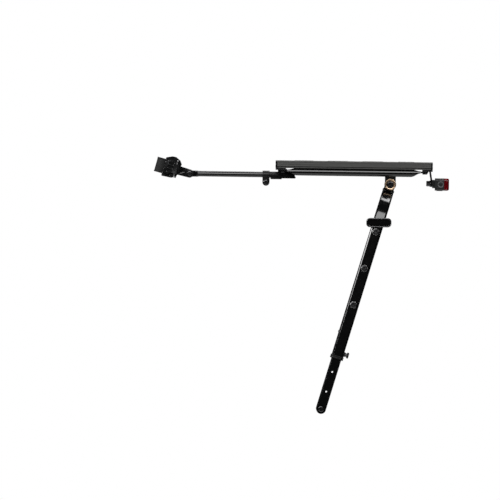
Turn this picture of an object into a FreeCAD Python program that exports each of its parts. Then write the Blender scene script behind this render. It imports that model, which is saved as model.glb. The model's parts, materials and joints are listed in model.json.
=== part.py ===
"""Bicycle rear rack: a narrow deck on a hinged hoop with telescoping legs and a seatpost arm.

Millimetres, +X towards the back of the bicycle, +Y to its right, +Z up.
The origin is the centre of the deck's top face.
"""
import FreeCAD, Part
import math
import os

# Deck
DECK_LENGTH = 263.0
DECK_HALF_WIDTH = 62.0
RAIL_WIDTH = 16.0
RAIL_HEIGHT = 12.5
RAIL_GROOVES = (-3.4, -6.6)
UNDERCUT_TOP = -9.6
UNDERCUT_DEPTH = 2.4
CAP_THICKNESS = 2.6
CAP_BOTTOM = -15.6
CAP_BLOCK_LENGTH = 14.0
PLATE_THICKNESS = 3.0
PLATE_EDGE = 3.3
BEAM_POSITIONS = (-112.0, -56.0, 2.0, 61.2, 112.0)
BEAM_WIDTH = 15.0
BEAM_BOLT_Y = 40.5
BEAM_BOLT_RADIUS = 3.6

# Pannier tubes under the rails
TUBE_RADIUS = 6.0
TUBE_Y = 55.5
TUBE_Z = -18.6
TUBE_STRAIGHT = 95.0
TUBE_TAPER = 18.0
TAB_LENGTH = 11.0
TAB_THICKNESS = 2.4
TAB_HALF_WIDTH = 6.4
TUBE_BOLT_RADIUS = 2.5

# Pivot between the deck and the hoop
PIVOT_X = 61.2
PIVOT_Z = -37.7
EAR_RADIUS = 9.0
EAR_INNER_Y = 14.0
EAR_OUTER_Y = 20.0
HANGER_BASE_BOTTOM = -16.5
RING_RADIUS = 9.75
RING_RECESS_RADIUS = 6.4
RING_OUTER_Y = 23.6
RING_ROUNDING = 1.5
PIVOT_BOLT_RADIUS = 4.0
BUSH_RADIUS = 5.6
HANGER_BOLT_RADIUS = 1.6
RUNNING_GAP = 0.05

# Hoop and legs; the leg plane leans so that the feet stand forward of the pivot
LEAN_DEG = 16.4
SPLAY_DEG = 4.2
HOOP_RADIUS = 60.0
HOOP_TOP_DROP = 14.7
HOOP_WIDTH = 19.0
HOOP_THICKNESS = 9.0
HOOP_EDGE = 3.2
LEG_WIDTH = 19.0
LEG_THICKNESS = 13.0
LEG_EDGE = 3.4
LEG_WALL = 1.2
LEG_TOP = -2.0
LEG_END = -233.6
CAGE_BOLT_FIRST = -13.7
CAGE_BOLT_PITCH = 64.0
CAGE_BOLT_RADIUS = 2.5
INSERT_RADIUS = 3.5
SPIGOT_END = -30.0
COLLAR_WIDTH = 21.8
COLLAR_THICKNESS = 15.8
COLLAR_TOP = -231.2
COLLAR_HEIGHT = 5.2
THUMB_SCREW_Z = -225.8
THUMB_SCREW_RADIUS = 2.5
RIVET_Z = -191.0
CUFF_LENGTH = 41.3
CUFF_HEIGHT = 15.4
CUFF_CORNER = 5.8
CUFF_INNER_Y = 52.0
CUFF_OUTER_Y = 68.4
CUFF_CENTRE = (42.9, -102.1)

# Lower legs
LOWER_WIDTH = 16.3
LOWER_THICKNESS = 9.9
LOWER_EDGE = 2.2
LOWER_WALL = 1.6
LOWER_TOP = -178.0
AXLE_Z = -324.3
FOOT_RADIUS = 8.15
FOOT_HALF_THICKNESS = 6.0
LEG_HOLES = (29.9, 64.4)
LEG_HOLE_RADIUS = 1.8
AXLE_BOLT_RADIUS = 3.0
AXLE_BOLT_FREE = 12.0

# Arm to the seatpost
ARM_Z = -24.0
ARM_RADIUS = 4.6
ARM_TAIL_X = -99.0
ARM_TAPER_X = (-267.5, -259.0)
EYE_X = -275.9
EYE_RADIUS = 5.2
EYE_HALF_THICKNESS = 3.0
FORK_BOLT_RADIUS = 2.5
NOSE_RADIUS = 5.15
NOSE_FRONT_X = -152.5
COLLAR_FRONT_X = -153.4
COLLAR_BACK_X = -141.5
ARM_CLAMP_RADIUS = 6.6
ARM_CLAMP_BOLT_Z = -36.8
BRACKET_BOLT_X = -117.5
BRACKET_BOLT_Y = 8.0
BRACKET_BOLT_SEAT = -28.2
BRACKET_BOLT_RADIUS = 1.3
BRACKET_HEAD_RADIUS = 2.6

# Seatpost clamp, in a frame on the post's axis
POST_X = -315.1
POST_Z = -10.4
POST_TILT_DEG = 15.0
POST_RADIUS = 13.6
STRAP_THICKNESS = 3.6
STRAP_SPAN = (-15.0, 9.6)
CLAMP_SPAN = (-18.0, 14.0)
CLAMP_FACE_X = 4.0
CLAMP_BACK_X = 22.0
FORK_RADIUS = 7.0
FORK_HALF_WIDTH = 7.6
FORK_SLOT = 3.35
ANCHOR_THICKNESS = 2.4
ANCHOR_BOLT_X = 7.5
ANCHOR_BOLT_Z = (-9.0, 1.5)
ANCHOR_BOLT_RADIUS = 1.5
LEVER_PIN_X = 18.6
LEVER_PIN_Y = -22.8
LEVER_PIN_RADIUS = 1.6

# Tail light
LIGHT_FRONT_X = 136.0
LENS_FRONT_X = 151.5
LIGHT_SCREW_Z = -35.5
LIGHT_SCREW_RADIUS = 2.5
STRIP_BACK_X = 131.5
LIGHT_BACK_X = 159.6
LIGHT_HALF_WIDTH = 17.0
LIGHT_TOP = -26.3
LIGHT_BOTTOM = -46.9
LIGHT_EDGE = 4.5
LIGHT_WALL = 1.6
BUTTON_X = 145.6
BUTTON_RADIUS = 3.0

X_AXIS = FreeCAD.Vector(1, 0, 0)
Y_AXIS = FreeCAD.Vector(0, 1, 0)
Z_AXIS = FreeCAD.Vector(0, 0, 1)
ORIGIN = FreeCAD.Vector(0, 0, 0)


# Shape helpers

def vec(x, y, z):
    return FreeCAD.Vector(x, y, z)


def block(x, y, z):
    """A box from three (low, high) pairs."""
    size = (x[1] - x[0], y[1] - y[0], z[1] - z[0])
    return Part.makeBox(size[0], size[1], size[2], vec(x[0], y[0], z[0]))


def rod(start, axis, radius, length):
    return Part.makeCylinder(radius, length, start, axis)


def ring(start, axis, outer, inner, length):
    return rod(start, axis, outer, length).cut(rod(start, axis, inner, length))


def slab(points, y_low, y_high):
    """An outline of (x, z) points, made solid between two Y values."""
    corners = [vec(x, y_low, z) for x, z in points]
    outline = Part.makePolygon(corners + corners[:1])
    return Part.Face(outline).extrude(vec(0, y_high - y_low, 0))


def rounded_plate(centre_x, centre_z, length, height, y_low, y_high, corner):
    """A plate across Y with rounded corners, centred on a point of the XZ plane."""
    return rounded_block((centre_x - length / 2, centre_x + length / 2), (y_low, y_high),
                         (centre_z - height / 2, centre_z + height / 2), corner, Y_AXIS)


def pressed_room(x_start, x_end, x_stop, start_pair, end_pair, deep, across_axis):
    """The room inside a pressing tool: its two faces ease from one (low, high) gap to another along X."""
    def point(x, height):
        return vec(x, -deep, height) if across_axis == Y_AXIS else vec(x, height, -deep)

    sides = []
    for first, last in zip(start_pair, end_pair):
        side = []
        for share in (0.0, 0.3, 0.7, 1.0):
            ease = share * share * (3 - 2 * share)
            side.append(point(x_start + share * (x_end - x_start), first + ease * (last - first)))
        side.append(point(x_stop, last))
        sides.append(side)
    corners = sides[0] + sides[1][::-1]
    outline = Part.makePolygon(corners + corners[:1])
    return Part.Face(outline).extrude(FreeCAD.Vector(across_axis).multiply(2 * deep))


def hexagon(start, axis, across, length):
    """A six-sided prism, across flats, with a flat towards +Z or +X."""
    turn = FreeCAD.Rotation(Z_AXIS, axis)
    corner = across / math.sqrt(3)
    corners = [turn.multVec(vec(corner * math.cos(k * math.pi / 3), corner * math.sin(k * math.pi / 3), 0))
               for k in range(7)]
    outline = Part.makePolygon([start.add(point) for point in corners])
    return Part.Face(outline).extrude(FreeCAD.Vector(axis).multiply(length))


def edges_along(shape, axis):
    found = []
    for edge in shape.Edges:
        if isinstance(edge.Curve, Part.Line) and abs(edge.tangentAt(edge.FirstParameter).dot(axis)) > 0.999:
            found.append(edge)
    return found


def soften(shape, radius, axis):
    """Round every straight edge that runs along the axis."""
    return shape.makeFillet(radius, edges_along(shape, axis))


def rounded_block(x, y, z, radius, axis):
    return soften(block(x, y, z), radius, axis)


def bar(width, thickness, edge, z_low, z_high):
    """A rounded rectangular bar along Z, centred on the axis."""
    return rounded_block((-width / 2, width / 2), (-thickness / 2, thickness / 2),
                         (z_low, z_high), edge, Z_AXIS)


def placed(shape, place):
    copy = shape.copy()
    copy.Placement = place.multiply(copy.Placement)
    return copy


def mirrored(shape):
    """The same shape on the other side of the bicycle."""
    return shape.mirror(ORIGIN, Y_AXIS)


def both_sides(shapes):
    return list(shapes) + [mirrored(shape) for shape in shapes]


def socket_bolt(seat, axis, head_radius, head_height, shank_radius, shank_length, key):
    """A button-headed bolt: its seat is under the head, and the axis points out of the head."""
    head = rod(seat, axis, head_radius, head_height)
    rim = [edge for edge in head.Edges
           if abs(edge.BoundBox.Center.sub(seat).dot(axis) - head_height) < 0.01 and edge.isClosed()]
    head = head.makeFillet(head_height * 0.45, rim)
    socket_start = seat.add(FreeCAD.Vector(axis).multiply(head_height * 0.35))
    head = head.cut(hexagon(socket_start, axis, key, head_height))
    inward = FreeCAD.Vector(axis).multiply(-1)
    return head.fuse(rod(seat, inward, shank_radius, shank_length))


def save(name, shape):
    """Write one node; a list becomes a group of separate solids."""
    node = Part.makeCompound(shape) if isinstance(shape, list) else shape
    node.exportStep("parts/" + name + ".step")


# Deck

def side_rail():
    """The right-hand rail: a grooved box section with a rebate that the deck plate lies in."""
    half = DECK_LENGTH / 2 - CAP_THICKNESS
    inner = DECK_HALF_WIDTH - RAIL_WIDTH
    rail = block((-half, half), (inner, DECK_HALF_WIDTH), (-RAIL_HEIGHT, 0))
    top_edge = [edge for edge in edges_along(rail, X_AXIS)
                if edge.BoundBox.YMax > DECK_HALF_WIDTH - 0.1 and edge.BoundBox.ZMax > -0.1]
    rail = rail.makeFillet(1.0, top_edge)
    cuts = [block((-half, half), (DECK_HALF_WIDTH - UNDERCUT_DEPTH, DECK_HALF_WIDTH),
                  (-RAIL_HEIGHT, UNDERCUT_TOP))]
    for groove in RAIL_GROOVES:
        cuts.append(block((-half, half), (DECK_HALF_WIDTH - 0.7, DECK_HALF_WIDTH), (groove - 0.4, groove + 0.4)))
    cuts.append(block((-half, half), (inner, inner + PLATE_EDGE), (-PLATE_THICKNESS, 0)))
    chamber = block((-half, half), (inner + 5.5, DECK_HALF_WIDTH - 4.0), (-RAIL_HEIGHT + 2.0, -2.0))
    cuts.append(chamber)
    return rail.cut(Part.makeCompound(cuts)).removeSplitter()


def deck_plate():
    """A thin plate, flush with both rails, with two rows of strap slots and the bolts' counterbores."""
    half = DECK_LENGTH / 2 - CAP_THICKNESS
    edge = DECK_HALF_WIDTH - RAIL_WIDTH + PLATE_EDGE
    plate = block((-half, half), (-edge, edge), (-PLATE_THICKNESS, 0))
    slots = [rod(vec(x, y, -PLATE_THICKNESS - 1), Z_AXIS, BEAM_BOLT_RADIUS, PLATE_THICKNESS + 2)
             for x, y in beam_bolt_places()]
    for left, right in zip(BEAM_POSITIONS[:-1], BEAM_POSITIONS[1:]):
        for side in (-1, 1):
            middle = side * 22.5
            slots.append(rounded_block((left + 13, right - 13), (middle - 13, middle + 13),
                                       (-PLATE_THICKNESS - 1, 1), 6.0, Z_AXIS))
    return plate.cut(Part.makeCompound(slots))


def cross_beams():
    """Flat bars under the plate that tie the two rails together."""
    inner = DECK_HALF_WIDTH - RAIL_WIDTH
    return [block((centre - BEAM_WIDTH / 2, centre + BEAM_WIDTH / 2), (-inner, inner),
                  (-RAIL_HEIGHT, -PLATE_THICKNESS)) for centre in BEAM_POSITIONS]


def end_cap(side):
    """A moulded end bar with a block below each rail for the pannier tube's flattened end."""
    outer = DECK_LENGTH / 2
    inner_x = outer - CAP_THICKNESS
    wall = block((inner_x, outer), (-DECK_HALF_WIDTH, DECK_HALF_WIDTH), (CAP_BOTTOM, 0))
    wall = soften(wall, 2.0, X_AXIS)
    feet = []
    for y_side in (-1, 1):
        y_pair = sorted((y_side * (DECK_HALF_WIDTH - RAIL_WIDTH), y_side * (DECK_HALF_WIDTH - 1.0)))
        feet.append(block((inner_x - CAP_BLOCK_LENGTH, inner_x), y_pair, (CAP_BOTTOM, -RAIL_HEIGHT)))
    cap = wall.multiFuse(feet)
    holes = []
    for y_side in (-1, 1):
        holes.append(rod(vec(tab_bolt_x(), y_side * TUBE_Y, CAP_BOTTOM - 1), Z_AXIS, TUBE_BOLT_RADIUS, 10))
    cap = cap.cut(Part.makeCompound(holes))
    if side < 0:
        cap = cap.mirror(ORIGIN, X_AXIS)
    return cap


def tab_bolt_x():
    """Where the bolt through each flattened tube end stands."""
    return TUBE_STRAIGHT + TUBE_TAPER + TAB_LENGTH * 0.55


def pannier_tube():
    """The right-hand round tube, with both ends pressed flat into bolted tabs."""
    tab_low = CAP_BOTTOM - TAB_THICKNESS
    end = TUBE_STRAIGHT + TUBE_TAPER
    stop = end + 2.0
    tube = rod(vec(-stop, TUBE_Y, TUBE_Z), X_AXIS, TUBE_RADIUS, 2 * stop)
    full = (TUBE_Z - TUBE_RADIUS - 0.5, TUBE_Z + TUBE_RADIUS + 0.5)
    tools = [block((-TUBE_STRAIGHT, TUBE_STRAIGHT), (0, 100), full)]
    tabs = []
    holes = []
    for side in (-1, 1):
        tools.append(pressed_room(side * TUBE_STRAIGHT, side * end, side * stop, full,
                                  (tab_low, CAP_BOTTOM), 100, Y_AXIS))
        x_pair = sorted((side * (end - 3.0), side * (end + TAB_LENGTH)))
        tabs.append(rounded_block(x_pair, (TUBE_Y - TAB_HALF_WIDTH, TUBE_Y + TAB_HALF_WIDTH),
                                  (tab_low, CAP_BOTTOM), 4.0, Z_AXIS))
        holes.append(rod(vec(side * tab_bolt_x(), TUBE_Y, tab_low - 1), Z_AXIS, TUBE_BOLT_RADIUS, 6))
    press = tools[0].multiFuse(tools[1:])
    return tube.common(press).multiFuse(tabs).cut(Part.makeCompound(holes))


def tube_bolts():
    """Button-headed bolts, up through the flattened tube ends."""
    seat_z = CAP_BOTTOM - TAB_THICKNESS
    bolts = []
    for x in (-tab_bolt_x(), tab_bolt_x()):
        for y in (-TUBE_Y, TUBE_Y):
            bolts.append(socket_bolt(vec(x, y, seat_z), vec(0, 0, -1), 3.9, 2.2, TUBE_BOLT_RADIUS, 5.0, 3.0))
    return bolts


def beam_bolt_places():
    return [(x, y) for x in BEAM_POSITIONS for y in (-BEAM_BOLT_Y, BEAM_BOLT_Y)]


def beam_bolts():
    """Flush round heads in the deck plate, over each cross beam."""
    bolts = []
    for x, y in beam_bolt_places():
        head = rod(vec(x, y, -PLATE_THICKNESS), Z_AXIS, BEAM_BOLT_RADIUS, PLATE_THICKNESS - 0.3)
        bolts.append(head.cut(hexagon(vec(x, y, -1.8), Z_AXIS, 2.5, 2)))
    return bolts


# Pivot

def pivot_hanger():
    """A U-shaped hanger under the deck with two ears for the pivot bolt."""
    base = rounded_block((PIVOT_X - 20, PIVOT_X + 20), (-EAR_OUTER_Y - 4, EAR_OUTER_Y + 4),
                         (HANGER_BASE_BOTTOM, -RAIL_HEIGHT), 4.0, Z_AXIS)
    pieces = []
    holes = []
    for side in (-1, 1):
        y_pair = sorted((side * EAR_INNER_Y, side * EAR_OUTER_Y))
        cheek = block((PIVOT_X - EAR_RADIUS, PIVOT_X + EAR_RADIUS), y_pair, (PIVOT_Z, HANGER_BASE_BOTTOM))
        pieces.append(cheek)
        pieces.append(rod(vec(PIVOT_X, y_pair[0], PIVOT_Z), Y_AXIS, EAR_RADIUS, y_pair[1] - y_pair[0]))
        holes.append(rod(vec(PIVOT_X, y_pair[0] - 1, PIVOT_Z), Y_AXIS, BUSH_RADIUS, y_pair[1] - y_pair[0] + 2))
    for x, y in hanger_bolt_places():
        holes.append(rod(vec(x, y, HANGER_BASE_BOTTOM), Z_AXIS, HANGER_BOLT_RADIUS, 5))
    hanger = base.multiFuse(pieces).cut(Part.makeCompound(holes))
    return hanger.removeSplitter()


def pivot_bushes():
    """Flanged rings that line both ears and frame the bolt head and the nut."""
    sleeve = ring(vec(PIVOT_X, EAR_INNER_Y, PIVOT_Z), Y_AXIS, BUSH_RADIUS, PIVOT_BOLT_RADIUS,
                  EAR_OUTER_Y - EAR_INNER_Y)
    depth = RING_OUTER_Y - EAR_OUTER_Y
    flange = rod(vec(PIVOT_X, EAR_OUTER_Y, PIVOT_Z), Y_AXIS, RING_RADIUS, depth)
    recess = rod(vec(PIVOT_X, EAR_OUTER_Y + 1.0, PIVOT_Z), Y_AXIS, RING_RECESS_RADIUS, depth)
    flange = flange.cut(recess)
    rims = [edge for edge in flange.Edges if edge.isClosed() and edge.BoundBox.YMin > RING_OUTER_Y - 0.01]
    flange = flange.makeFillet(RING_ROUNDING, rims)
    bore = rod(vec(PIVOT_X, EAR_OUTER_Y - 1.0, PIVOT_Z), Y_AXIS, PIVOT_BOLT_RADIUS, depth + 2)
    return both_sides([sleeve.fuse(flange.cut(bore))])


def pivot_bolt():
    seat = vec(PIVOT_X, -EAR_OUTER_Y - 1.0, PIVOT_Z)
    reach = 2 * EAR_OUTER_Y + 6.5
    return socket_bolt(seat, vec(0, -1, 0), 5.65, 4.2, PIVOT_BOLT_RADIUS, reach, 5.0)


def pivot_nut():
    start = vec(PIVOT_X, EAR_OUTER_Y + 1.0, PIVOT_Z)
    body = rod(start, Y_AXIS, 5.6, 4.2)
    return body.common(hexagon(start, Y_AXIS, 10.6, 4.2)).cut(rod(start, Y_AXIS, PIVOT_BOLT_RADIUS, 5))


def hanger_bolt_places():
    return [(PIVOT_X + dx, y) for dx in (-15.0, 15.0) for y in (-17.0, 17.0)]


def hanger_bolts():
    """Four bolts that hold the hanger to the cross beam."""
    reach = -RAIL_HEIGHT - HANGER_BASE_BOTTOM
    return [socket_bolt(vec(x, y, HANGER_BASE_BOTTOM), vec(0, 0, -1), 3.2, 1.8, HANGER_BOLT_RADIUS, reach, 2.5)
            for x, y in hanger_bolt_places()]


# Front bracket and arm

def tongue_bracket():
    """The wedge under the deck's front that guides the arm, with a slotted nose and a lower tab."""
    body = slab([(-127.7, -RAIL_HEIGHT), (-115.5, -RAIL_HEIGHT), (-101.0, -22.6), (-101.0, -28.4),
                 (-127.7, -28.4)], -11.0, 11.0)
    foot = rounded_block((-121.6, -97.8), (-16.0, 16.0), (-30.0, -26.6), 1.2, Y_AXIS)
    nose = rod(vec(NOSE_FRONT_X, 0, ARM_Z), X_AXIS, NOSE_RADIUS, -127.0 - NOSE_FRONT_X)
    tab = rounded_block((-140.0, -121.0), (-5.0, 5.0), (-31.6, -28.0), 1.0, Y_AXIS)
    bracket = body.multiFuse([foot, nose, tab])
    bore = rod(vec(NOSE_FRONT_X - 1, 0, ARM_Z), X_AXIS, ARM_RADIUS + RUNNING_GAP, 70)
    slit = block((NOSE_FRONT_X - 1, -141.0), (-0.5, 0.5), (ARM_Z - NOSE_RADIUS - 1, ARM_Z))
    for x, y in bracket_bolt_places():
        bracket = bracket.cut(rod(vec(x, y, BRACKET_BOLT_SEAT), vec(0, 0, -1), BRACKET_HEAD_RADIUS + 0.2, 5))
        bracket = bracket.cut(rod(vec(x, y, BRACKET_BOLT_SEAT), Z_AXIS, BRACKET_BOLT_RADIUS, 20))
    return bracket.cut(bore).cut(slit).removeSplitter()


def bracket_bolt_places():
    return [(BRACKET_BOLT_X, y) for y in (-BRACKET_BOLT_Y, BRACKET_BOLT_Y)]


def bracket_bolts():
    """Sunk bolts on both sides of the arm, up through the bracket to the front cross beam."""
    reach = -RAIL_HEIGHT - BRACKET_BOLT_SEAT
    return [socket_bolt(vec(x, y, BRACKET_BOLT_SEAT), vec(0, 0, -1), BRACKET_HEAD_RADIUS, 1.6,
                        BRACKET_BOLT_RADIUS, reach, 2.0) for x, y in bracket_bolt_places()]


def arm_clamp():
    """A split collar round the nose, with a hanging lug for its bolt."""
    width = COLLAR_BACK_X - COLLAR_FRONT_X
    middle_x = (COLLAR_FRONT_X + COLLAR_BACK_X) / 2
    collar = rod(vec(COLLAR_FRONT_X, 0, ARM_Z), X_AXIS, ARM_CLAMP_RADIUS, width)
    lug = block((COLLAR_FRONT_X, COLLAR_BACK_X), (-5.0, 5.0), (ARM_CLAMP_BOLT_Z, ARM_Z))
    toe = rod(vec(middle_x, -5.0, ARM_CLAMP_BOLT_Z), Y_AXIS, width / 2, 10.0)
    clamp = collar.multiFuse([lug, toe])
    bore = rod(vec(COLLAR_FRONT_X - 1, 0, ARM_Z), X_AXIS, NOSE_RADIUS, width + 2)
    slit = block((COLLAR_FRONT_X - 1, COLLAR_BACK_X + 1), (-0.8, 0.8), (ARM_CLAMP_BOLT_Z - 10, ARM_Z))
    hole = rod(vec(middle_x, -6, ARM_CLAMP_BOLT_Z), Y_AXIS, 2.0, 12)
    return clamp.cut(bore).cut(slit).cut(hole).removeSplitter()


def arm_clamp_bolt():
    middle_x = (COLLAR_FRONT_X + COLLAR_BACK_X) / 2
    return socket_bolt(vec(middle_x, -5.0, ARM_CLAMP_BOLT_Z), vec(0, -1, 0), 4.5, 3.4, 2.0, 13.5, 3.6)


def arm_clamp_nut():
    middle_x = (COLLAR_FRONT_X + COLLAR_BACK_X) / 2
    start = vec(middle_x, 5.0, ARM_CLAMP_BOLT_Z)
    return hexagon(start, Y_AXIS, 7.0, 3.2).cut(rod(start, Y_AXIS, 2.0, 4))


def arm_rod():
    """A round rod whose front end swells a little and is pressed into a flat eye."""
    swell_start = ARM_TAPER_X[1]
    swell_end = swell_start - 4.0
    shaft = rod(vec(swell_start, 0, ARM_Z), X_AXIS, ARM_RADIUS, ARM_TAIL_X - swell_start)
    swell = Part.makeCone(EYE_RADIUS, ARM_RADIUS, swell_start - swell_end, vec(swell_end, 0, ARM_Z), X_AXIS)
    head = rod(vec(EYE_X, 0, ARM_Z), X_AXIS, EYE_RADIUS, swell_end - EYE_X)
    wide = EYE_RADIUS + 0.5
    press = pressed_room(swell_start, ARM_TAPER_X[0], EYE_X, (-wide, wide),
                         (-EYE_HALF_THICKNESS, EYE_HALF_THICKNESS), 60, Z_AXIS)
    flat = swell.fuse(head).common(press)
    eye = rod(vec(EYE_X, -EYE_HALF_THICKNESS, ARM_Z), Y_AXIS, EYE_RADIUS, 2 * EYE_HALF_THICKNESS)
    hole = rod(vec(EYE_X, -6, ARM_Z), Y_AXIS, FORK_BOLT_RADIUS + RUNNING_GAP, 12)
    return shaft.multiFuse([flat, eye]).cut(hole)


# Seatpost clamp, built in the post's frame

POST_FRAME = FreeCAD.Placement(vec(POST_X, 0, POST_Z), FreeCAD.Rotation(Y_AXIS, POST_TILT_DEG))
FORK_PIVOT = POST_FRAME.inverse().multVec(vec(EYE_X, 0, ARM_Z))


def clamp_block():
    """The saddle block behind the post; its hollow face takes a third of the post's surface."""
    depth = POST_RADIUS - 0.6
    outline = [(CLAMP_FACE_X, CLAMP_SPAN[0]), (CLAMP_BACK_X - 7, CLAMP_SPAN[0]), (CLAMP_BACK_X, CLAMP_SPAN[0] + 8),
               (CLAMP_BACK_X, 8.0), (CLAMP_BACK_X - 8, CLAMP_SPAN[1] + 2.4), (CLAMP_FACE_X, CLAMP_SPAN[1] + 1.4)]
    body = slab(outline, -depth, depth)
    body = body.makeFillet(1.5, edges_along(body, Y_AXIS))
    low, high = STRAP_SPAN
    post = rod(vec(0, 0, low), Z_AXIS, POST_RADIUS, high - low)
    relief = [rod(vec(0, 0, low - 10), Z_AXIS, POST_RADIUS + 0.8, 10),
              rod(vec(0, 0, high), Z_AXIS, POST_RADIUS + 0.8, 10)]
    ribs = []
    for z in (-13.0, -5.0, 3.0):
        ribs.append(block((CLAMP_FACE_X + 12.5, CLAMP_BACK_X + 4), (depth - 2.0, depth + 1), (z, z + 5.0)))
    return body.cut(post).cut(Part.makeCompound(relief)).cut(Part.makeCompound(ribs))


def clamp_strap():
    """A moulded strap round the front of the post, with both tails running back beside the block."""
    low, high = STRAP_SPAN
    outer = POST_RADIUS + STRAP_THICKNESS
    height = high - low
    wrap = ring(vec(0, 0, low), Z_AXIS, outer, POST_RADIUS, height)
    wrap = wrap.cut(block((0, 30), (-30, 30), (low - 1, high + 1)))
    tails = [block((0, 13.0), sorted((side * POST_RADIUS, side * outer)), (low, high)) for side in (-1, 1)]
    return wrap.multiFuse(tails).removeSplitter()


def strap_liner():
    """The grip pad between the block's hollow face and the strap tails."""
    low, high = STRAP_SPAN
    pads = []
    for side in (-1, 1):
        y_pair = sorted((side * 9.0, side * (POST_RADIUS - 0.02)))
        pad = block((0.0, CLAMP_FACE_X - 0.1), y_pair, (low + 1, high - 1))
        pads.append(pad.cut(rod(vec(0, 0, -40), Z_AXIS, POST_RADIUS, 80)))
    return pads


def buckle_frame():
    """The moulded frame over the strap's left tail, with windows and the lever's pin lugs."""
    face_y = -(POST_RADIUS + STRAP_THICKNESS)
    plate = slab([(-3.4, -19.4), (13.0, -18.4), (22.6, -11.0), (24.0, 2.0), (25.0, 8.0), (21.0, 13.6),
                  (13.0, 17.4), (6.5, 17.0), (-3.4, 12.4)], face_y - 2.2, face_y)
    plate = plate.makeFillet(1.4, edges_along(plate, Y_AXIS))
    windows = [rounded_block((0.5, 11.0), (face_y - 4, face_y + 1), (z, z + 6.4), 1.5, Y_AXIS)
               for z in (-14.4, -6.4, 1.6)]
    plate = plate.cut(Part.makeCompound(windows))
    lugs = []
    for z in (-14.6, 7.6):
        lug = block((LEVER_PIN_X - 3.0, LEVER_PIN_X + 3.0), (LEVER_PIN_Y, face_y - 1.0), (z, z + 3.6))
        lugs.append(lug)
        lugs.append(rod(vec(LEVER_PIN_X, LEVER_PIN_Y, z), Z_AXIS, 3.0, 3.6))
    bridge = block((CLAMP_BACK_X - 4.5, CLAMP_BACK_X - 1.0), (face_y - 1.0, -POST_RADIUS + 0.6), (-9.0, 4.5))
    frame = plate.multiFuse(lugs + [bridge])
    return frame.cut(rod(vec(LEVER_PIN_X, LEVER_PIN_Y, -20), Z_AXIS, LEVER_PIN_RADIUS, 40)).removeSplitter()


def strap_anchor():
    """The plate that traps the strap's right tail against the block."""
    face_y = POST_RADIUS + STRAP_THICKNESS
    plate = rounded_block((1.0, 20.5), (face_y, face_y + ANCHOR_THICKNESS), (-13.5, 6.0), 3.0, Y_AXIS)
    bridge = block((CLAMP_BACK_X - 5.5, CLAMP_BACK_X - 1.5), (POST_RADIUS - 0.6, face_y + 1.0), (-9.0, 2.0))
    holes = [rod(vec(ANCHOR_BOLT_X, face_y - 1, z), Y_AXIS, ANCHOR_BOLT_RADIUS, 5) for z in ANCHOR_BOLT_Z]
    return plate.fuse(bridge).cut(Part.makeCompound(holes)).removeSplitter()


def anchor_bolts():
    """Bolts through the anchor plate, with their tips against the strap's right tail."""
    face_y = POST_RADIUS + STRAP_THICKNESS + ANCHOR_THICKNESS
    return [socket_bolt(vec(ANCHOR_BOLT_X, face_y, z), Y_AXIS, 3.2, 2.0, ANCHOR_BOLT_RADIUS, ANCHOR_THICKNESS, 2.5)
            for z in ANCHOR_BOLT_Z]


def lever():
    """The cam lever, a ribbed handle that lies flat along the buckle frame."""
    y_low = LEVER_PIN_Y - 2.9
    y_high = LEVER_PIN_Y + 2.9
    outline = [(LEVER_PIN_X, -10.0), (LEVER_PIN_X, 6.6), (12.0, 6.6), (7.0, 9.6), (0.5, 9.0),
               (-0.8, -12.5), (6.0, -14.0), (11.0, -10.0)]
    handle = slab(outline, y_low, y_high)
    corners = [edge for edge in edges_along(handle, Y_AXIS) if edge.BoundBox.XMax < LEVER_PIN_X - 1]
    handle = handle.makeFillet(1.6, corners)
    pockets = [rounded_block((3.0, 12.5), (y_low - 1, y_low + 2.4), (z, z + 4.4), 1.2, Y_AXIS)
               for z in (-9.6, -3.2, 3.0)]
    handle = handle.cut(Part.makeCompound(pockets))
    knuckle = rod(vec(LEVER_PIN_X, LEVER_PIN_Y, -10.6), Z_AXIS, 2.9, 17.8)
    cam_room = rod(vec(LEVER_PIN_X, LEVER_PIN_Y, -30), Z_AXIS, LEVER_PIN_RADIUS + RUNNING_GAP, 60)
    return handle.fuse(knuckle).cut(cam_room).removeSplitter()


def lever_pin():
    """The pin through the frame's lugs, with a round head at each end."""
    pin = rod(vec(LEVER_PIN_X, LEVER_PIN_Y, -16.0), Z_AXIS, LEVER_PIN_RADIUS, 28.6)
    heads = [rod(vec(LEVER_PIN_X, LEVER_PIN_Y, z), Z_AXIS, 2.7, 1.8) for z in (-16.6, 11.3)]
    return pin.multiFuse(heads)


def clamp_fork():
    """The fork behind the block that carries the arm's eye between two cheeks."""
    z_low = FORK_PIVOT.z - FORK_RADIUS
    z_high = FORK_PIVOT.z + FORK_RADIUS
    body = slab([(CLAMP_BACK_X, z_low - 0.6), (FORK_PIVOT.x, z_low), (FORK_PIVOT.x, z_high),
                 (CLAMP_BACK_X, z_high + 0.6)], -FORK_HALF_WIDTH, FORK_HALF_WIDTH)
    nose = rod(vec(FORK_PIVOT.x, -FORK_HALF_WIDTH, FORK_PIVOT.z), Y_AXIS, FORK_RADIUS, 2 * FORK_HALF_WIDTH)
    fork = body.fuse(nose)
    slot = block((FORK_PIVOT.x - EYE_RADIUS - 2.4, 60), (-FORK_SLOT, FORK_SLOT), (-30, 30))
    bore = rod(vec(FORK_PIVOT.x, -20, FORK_PIVOT.z), Y_AXIS, FORK_BOLT_RADIUS, 40)
    windows = []
    for side in (-1, 1):
        y_pair = sorted((side * (FORK_HALF_WIDTH - 2.6), side * (FORK_HALF_WIDTH + 1)))
        windows.append(slab([(25.4, -7.6), (32.4, -2.7), (25.4, 2.2)], y_pair[0], y_pair[1]))
    return fork.cut(slot).cut(bore).cut(Part.makeCompound(windows)).cut(clamp_block()).removeSplitter()


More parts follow.
